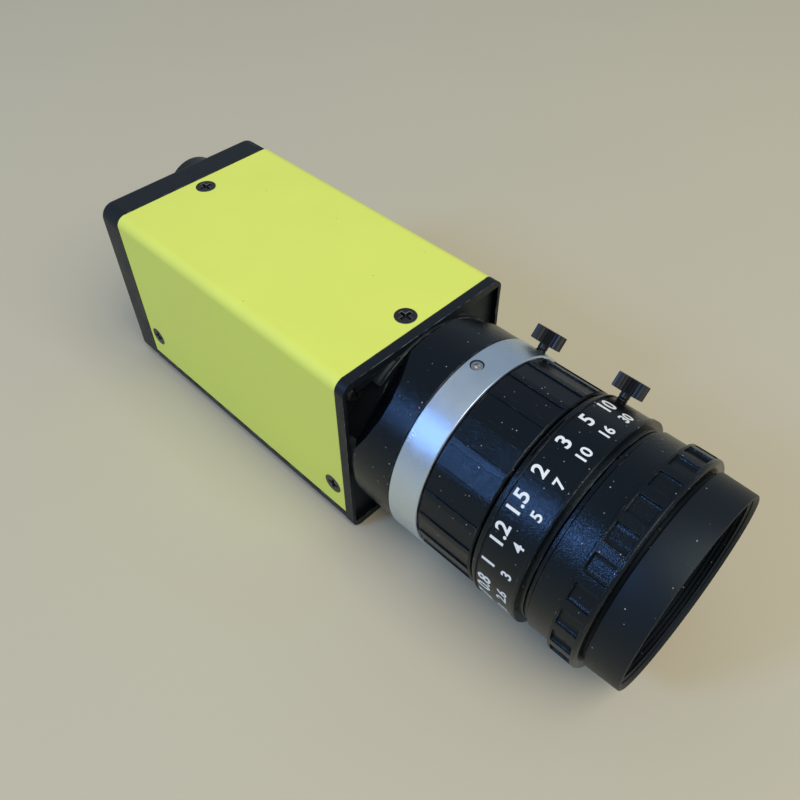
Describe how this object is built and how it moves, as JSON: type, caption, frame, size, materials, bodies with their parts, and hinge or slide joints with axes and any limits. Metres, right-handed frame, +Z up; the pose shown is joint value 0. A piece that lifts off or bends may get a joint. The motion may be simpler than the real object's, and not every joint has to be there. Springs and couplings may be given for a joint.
{
  "type": "machine vision camera",
  "caption": "Compact industrial camera with a folded yellow cover, black end castings, rear network and power sockets, and a manual lens with iris and focus rings.",
  "frame": {"origin": "centre of the four fixing holes, on the underside of the camera body", "axes": "+X to the right for someone facing the lens; +Y from the lens to the rear sockets; +Z up"},
  "size_m": [0.0294, 0.1006, 0.0295],
  "materials": {
    "black_anodised": "satin",
    "cover_yellow": "satin",
    "lens_black": "matte",
    "hood_black": "matte",
    "lens_silver": "satin",
    "screw_black": "satin",
    "screw_brass": "satin",
    "stop_steel": "matte",
    "lens_glass": "gloss",
    "filter_glass": "gloss",
    "sensor_ceramic": "matte",
    "circuit_green": "satin",
    "chip_black": "matte",
    "flex_amber": "satin",
    "spreader_aluminium": "satin",
    "pad_grey": "matte",
    "seal_black": "matte",
    "socket_steel": "satin",
    "socket_black": "matte",
    "contact_gold": "polished",
    "connector_black": "satin",
    "light_white": "gloss"
  },
  "bodies": {
    "camera": {"front_housing": "black_anodised", "rear_cap": "black_anodised", "base_plate": "black_anodised", "top_cover": "cover_yellow", "cover_screws": "screw_black", "base_screws": "screw_black", "front_screws": "screw_black", "lens_adapter": "lens_black", "ir_filter": "filter_glass", "filter_seal": "seal_black", "filter_retainer": "stop_steel", "sensor_holder": "black_anodised", "sensor_board": "circuit_green", "processor_board": "circuit_green", "interface_board": "circuit_green", "board_standoffs": "contact_gold", "image_sensor": "sensor_ceramic", "sensor_window": "filter_glass", "circuit_chips": "chip_black", "thermal_pad": "pad_grey", "board_connectors": "socket_black", "flex_circuit": "flex_amber", "heat_spreader": "spreader_aluminium", "board_screws": "socket_steel", "network_socket": "socket_steel", "socket_insert": "socket_black", "socket_contacts": "contact_gold", "power_connector_shell": "connector_black", "power_connector_nut": "connector_black", "power_connector_insert": "socket_black", "power_connector_pins": "contact_gold", "status_light_pipe": "light_white", "status_led": "light_white", "lens_mount": "lens_silver", "mount_set_screws": "stop_steel", "inner_barrel": "lens_black", "rear_lens": "lens_glass", "rear_lens_retainer": "stop_steel", "name_band": "lens_black", "guide_key": "screw_brass", "focus_washer": "screw_brass", "iris_cage": "stop_steel", "iris_retainer": "stop_steel"},
    "iris_ring": {"iris_ring": "lens_black", "iris_cam_ring": "lens_black", "iris_drive_pin": "screw_brass"},
    "iris_blade_1": {"iris_blade_1": "stop_steel"},
    "iris_blade_2": {"iris_blade_2": "stop_steel"},
    "iris_blade_3": {"iris_blade_3": "stop_steel"},
    "iris_blade_4": {"iris_blade_4": "stop_steel"},
    "iris_blade_5": {"iris_blade_5": "stop_steel"},
    "focus_ring": {"focus_ring": "lens_black"},
    "front_group": {"front_barrel": "hood_black", "front_lens": "lens_glass", "front_lens_retainer": "hood_black", "inner_lens": "lens_glass"},
    "iris_lock_pad": {"iris_lock_pad": "screw_brass"},
    "iris_lock_screw": {"iris_lock_screw": "screw_black"},
    "focus_lock_pad": {"focus_lock_pad": "screw_brass"},
    "focus_lock_screw": {"focus_lock_screw": "screw_black"}
  },
  "joints": [
    {"name": "iris_turn", "type": "hinge", "parent": "camera", "child": "iris_ring", "pos_m": [0, -0.041, 0.0148], "axis": [0, -1, 0], "range_deg": [0, 50]},
    {"name": "blade_1_swing", "type": "hinge", "parent": "camera", "child": "iris_blade_1", "pos_m": [0, -0.042, 0.0241], "axis": [0, -1, 0], "range_deg": [0, 30]},
    {"name": "blade_2_swing", "type": "hinge", "parent": "camera", "child": "iris_blade_2", "pos_m": [-0.00885, -0.042, 0.01767], "axis": [0, -1, 0], "range_deg": [0, 30]},
    {"name": "blade_3_swing", "type": "hinge", "parent": "camera", "child": "iris_blade_3", "pos_m": [-0.00547, -0.042, 0.00728], "axis": [0, -1, 0], "range_deg": [0, 30]},
    {"name": "blade_4_swing", "type": "hinge", "parent": "camera", "child": "iris_blade_4", "pos_m": [0.00547, -0.042, 0.00728], "axis": [0, -1, 0], "range_deg": [0, 30]},
    {"name": "blade_5_swing", "type": "hinge", "parent": "camera", "child": "iris_blade_5", "pos_m": [0.00885, -0.042, 0.01767], "axis": [0, -1, 0], "range_deg": [0, 30]},
    {"name": "focus_turn", "type": "hinge", "parent": "camera", "child": "focus_ring", "pos_m": [0, -0.059, 0.0148], "axis": [0, -1, 0], "range_deg": [0, 250]},
    {"name": "focus_slide", "type": "slide", "parent": "camera", "child": "front_group", "axis": [0, -1, 0], "range_m": [0, 0.0016]},
    {"name": "iris_lock_travel", "type": "slide", "parent": "camera", "child": "iris_lock_pad", "axis": [0.7071, 0, 0.7071], "range_m": [0, 0.0007]},
    {"name": "iris_lock_turn", "type": "hinge", "parent": "iris_lock_pad", "child": "iris_lock_screw", "pos_m": [0.0099, -0.0373, 0.0247], "axis": [0.7071, 0, 0.7071], "range_deg": [0, 720]},
    {"name": "focus_lock_travel", "type": "slide", "parent": "camera", "child": "focus_lock_pad", "axis": [0.7071, 0, 0.7071], "range_m": [0, 0.0007]},
    {"name": "focus_lock_turn", "type": "hinge", "parent": "focus_lock_pad", "child": "focus_lock_screw", "pos_m": [0.0099, -0.0496, 0.0247], "axis": [0.7071, 0, 0.7071], "range_deg": [0, 720]}
  ],
  "couplings": [
    {"joint": "blade_1_swing", "follows": "iris_turn", "ratio": 0.6},
    {"joint": "blade_2_swing", "follows": "iris_turn", "ratio": 0.6},
    {"joint": "blade_3_swing", "follows": "iris_turn", "ratio": 0.6},
    {"joint": "blade_4_swing", "follows": "iris_turn", "ratio": 0.6},
    {"joint": "blade_5_swing", "follows": "iris_turn", "ratio": 0.6},
    {"joint": "focus_turn", "follows": "focus_slide", "rad_per_m": 2727},
    {"joint": "iris_lock_turn", "follows": "iris_lock_travel", "rad_per_m": 17952},
    {"joint": "focus_lock_turn", "follows": "focus_lock_travel", "rad_per_m": 17952}
  ]
}
